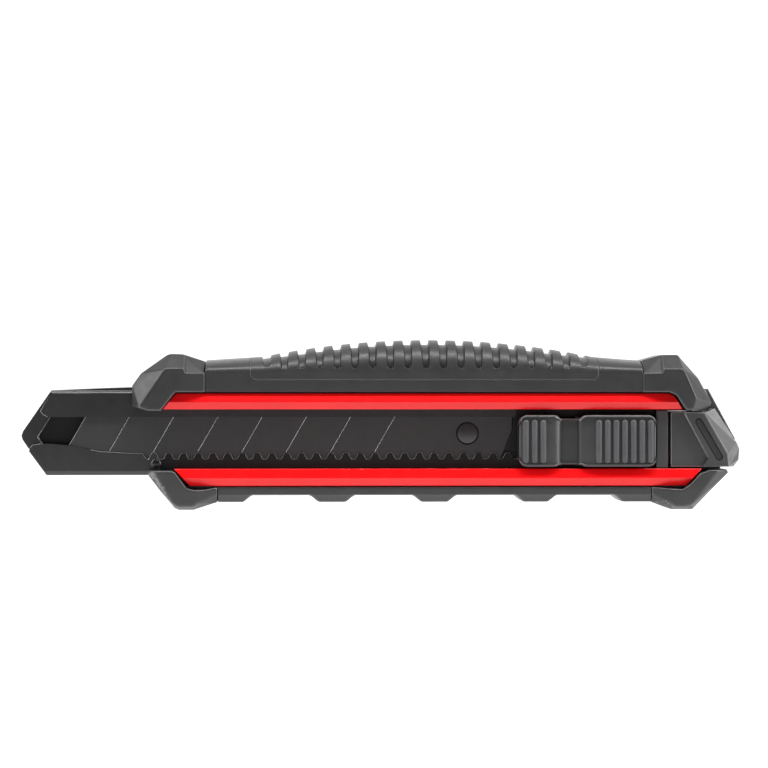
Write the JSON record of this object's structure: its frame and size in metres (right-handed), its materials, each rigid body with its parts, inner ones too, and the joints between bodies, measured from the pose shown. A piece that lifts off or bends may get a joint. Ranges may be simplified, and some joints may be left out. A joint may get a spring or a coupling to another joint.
{
  "type": "snap-off utility knife",
  "caption": "Heavy-duty snap-off utility knife with an auto-lock thumb slide, a rack-locked blade channel, corner bumpers, a ribbed spine grip and a pull-off tail cap.",
  "frame": {"origin": "middle of the knife's length and thickness, on the plane that its two lower bumpers stand on", "axes": "+X runs from the blade's nose towards the tail cap, +Y from the blade window to the back cover, +Z from the belly to the ribbed spine"},
  "size_m": [0.1628, 0.022, 0.0383],
  "materials": {
    "red_paint": "semi-gloss powder coat",
    "channel_steel": "satin black oxide",
    "blade_steel": "satin black oxide",
    "zinc_steel": "zinc plated",
    "hard_plastic": "fine moulded texture",
    "slide_plastic": "satin moulded",
    "grip_plastic": "fine moulded texture",
    "grip_rubber": "matte soft-touch",
    "bumper_rubber": "satin over-mould"
  },
  "bodies": {
    "handle": {"front_frame": "red_paint", "rear_frame": "red_paint", "back_cover": "hard_plastic", "cover_screws": "zinc_steel", "case_screws": "zinc_steel", "blade_channel": "channel_steel", "nose_support": "hard_plastic", "nose_rivet": "channel_steel", "channel_rivets": "zinc_steel", "upper_grip": "grip_plastic", "grip_insert": "grip_rubber", "lower_grip": "grip_plastic", "front_upper_bumper": "bumper_rubber", "front_lower_bumper": "bumper_rubber", "rear_upper_bumper": "bumper_rubber", "rear_lower_bumper": "bumper_rubber", "window_stop": "hard_plastic", "blade_magazine": "hard_plastic", "spare_blades": "blade_steel"},
    "carrier": {"snap_blade": "blade_steel", "blade_carrier": "hard_plastic", "lock_spring": "zinc_steel"},
    "thumb": {"thumb_slide": "slide_plastic", "lock_plate": "zinc_steel"},
    "cap": {"end_cap": "hard_plastic", "cap_inlay": "bumper_rubber"}
  },
  "joints": [
    {"name": "blade_slide", "type": "slide", "parent": "handle", "child": "carrier", "axis": [-1, 0, 0], "range_m": [0, 0.08]},
    {"name": "thumb_press", "type": "slide", "parent": "carrier", "child": "thumb", "axis": [0, 1, 0], "range_m": [0, 0.001], "stiffness_N_per_m": 3000, "springref_m": -0.0005, "deforming": ["lock_spring"]},
    {"name": "cap_pull", "type": "slide", "parent": "handle", "child": "cap", "axis": [1, 0, 0], "range_m": [0, 0.018]}
  ]
}
